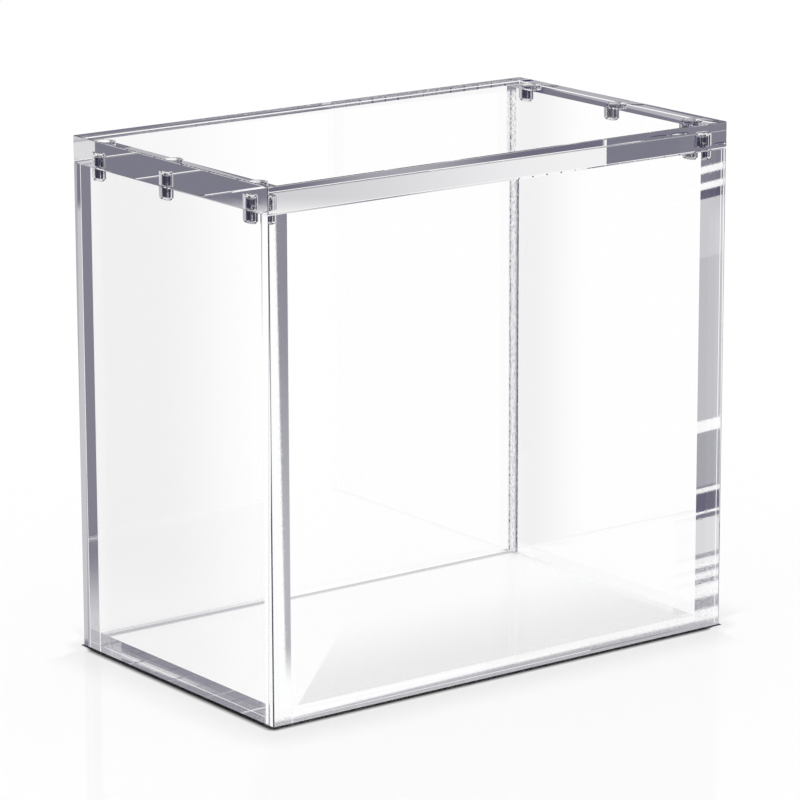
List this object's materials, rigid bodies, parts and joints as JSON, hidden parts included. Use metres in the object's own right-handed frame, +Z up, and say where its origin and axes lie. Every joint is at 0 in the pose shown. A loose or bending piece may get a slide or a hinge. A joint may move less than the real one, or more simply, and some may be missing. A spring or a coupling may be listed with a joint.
{
  "type": "acrylic display case",
  "caption": "Clear acrylic display case: a box of bonded panels with a flat lift-off lid plate, held shut by small disc magnets let into the lid and the thick ends.",
  "frame": {"origin": "centre of the underside, on the surface that the case stands on", "axes": "+X along the long side, -Y towards the front, +Z up through the lid"},
  "size_m": [0.1686, 0.101, 0.158],
  "materials": {
    "clear_acrylic": "clear polished cast acrylic",
    "magnet_nickel": "bright nickel plating"
  },
  "bodies": {
    "case": {"base_panel": "clear_acrylic", "front_panel": "clear_acrylic", "back_panel": "clear_acrylic", "left_end_panel": "clear_acrylic", "right_end_panel": "clear_acrylic", "wall_magnet_left_front": "magnet_nickel", "wall_magnet_left_middle": "magnet_nickel", "wall_magnet_left_rear": "magnet_nickel", "wall_magnet_right_front": "magnet_nickel", "wall_magnet_right_middle": "magnet_nickel", "wall_magnet_right_rear": "magnet_nickel"},
    "lid": {"lid_panel": "clear_acrylic", "lid_magnet_left_front": "magnet_nickel", "lid_magnet_left_middle": "magnet_nickel", "lid_magnet_left_rear": "magnet_nickel", "lid_magnet_right_front": "magnet_nickel", "lid_magnet_right_middle": "magnet_nickel", "lid_magnet_right_rear": "magnet_nickel"}
  },
  "joints": [
    {"name": "lid_lift", "type": "slide", "parent": "case", "child": "lid", "axis": [0, 0, 1], "range_m": [0, 0.16]}
  ]
}
